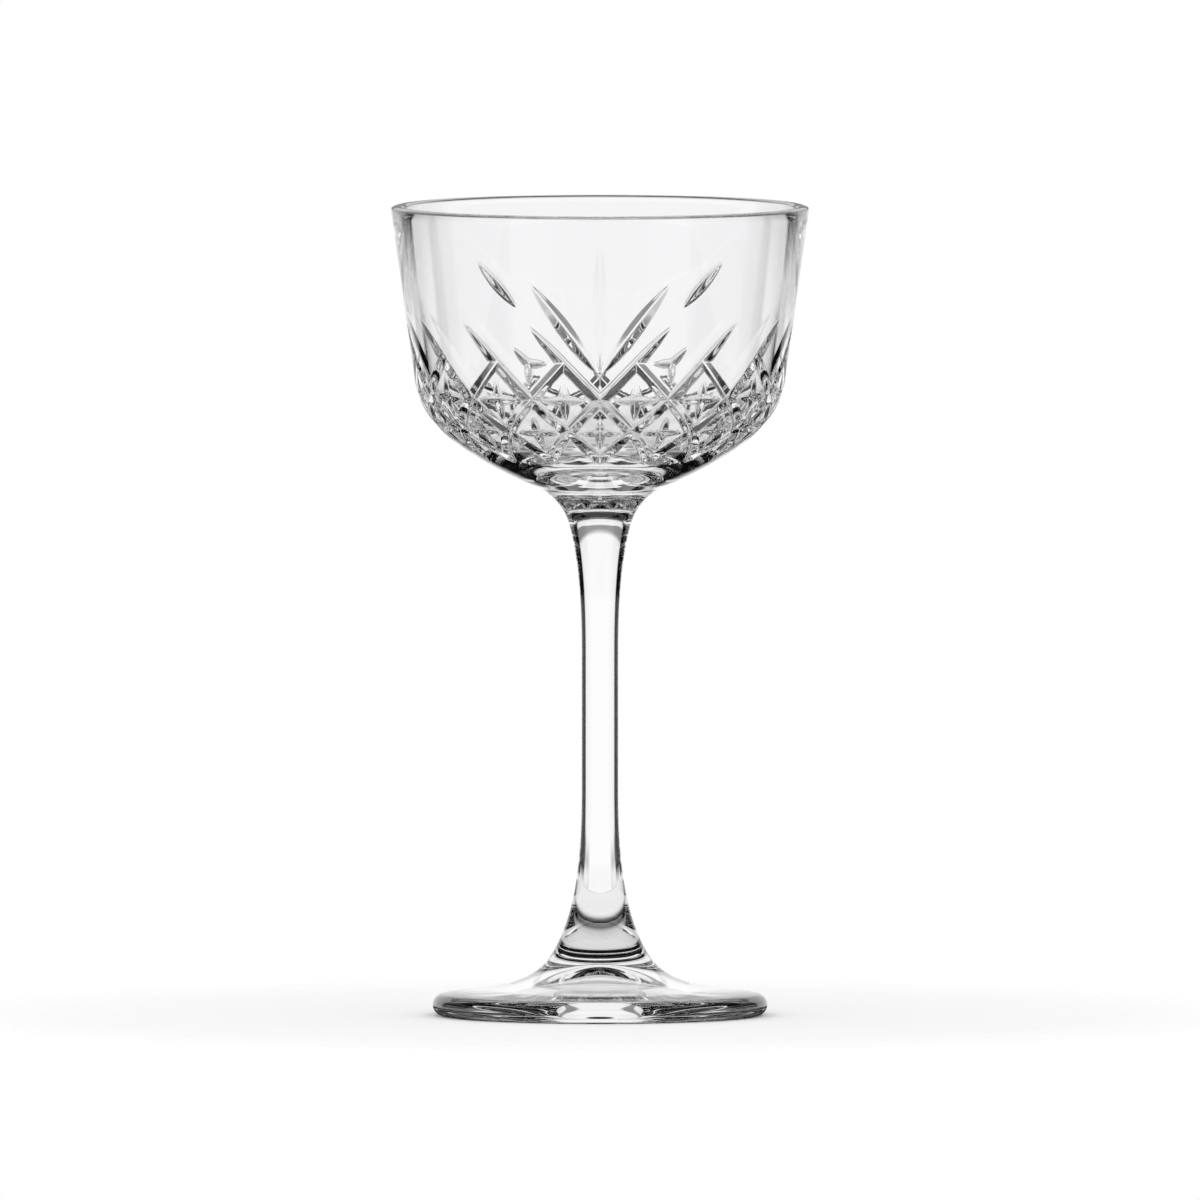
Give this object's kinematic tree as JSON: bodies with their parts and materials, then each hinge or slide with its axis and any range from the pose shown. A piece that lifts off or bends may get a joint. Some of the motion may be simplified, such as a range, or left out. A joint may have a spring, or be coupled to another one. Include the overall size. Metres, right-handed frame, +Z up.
{
  "type": "nick and nora glass",
  "caption": "Small stemmed cocktail glass: a deep bowl with a mitre-cut lattice, stars and leaf fans on a slim drawn stem and a round foot, all clear glass.",
  "frame": {"origin": "centre of the foot's resting ring, on the surface that the glass stands on", "axes": "+Z up along the glass's axis of revolution; the middle of one leaf fan of the cut pattern faces -Y"},
  "size_m": [0.08, 0.08, 0.155],
  "materials": {
    "clear_glass": "polished"
  },
  "bodies": {
    "root": {"bowl": "clear_glass", "stem": "clear_glass", "foot": "clear_glass"}
  },
  "joints": []
}
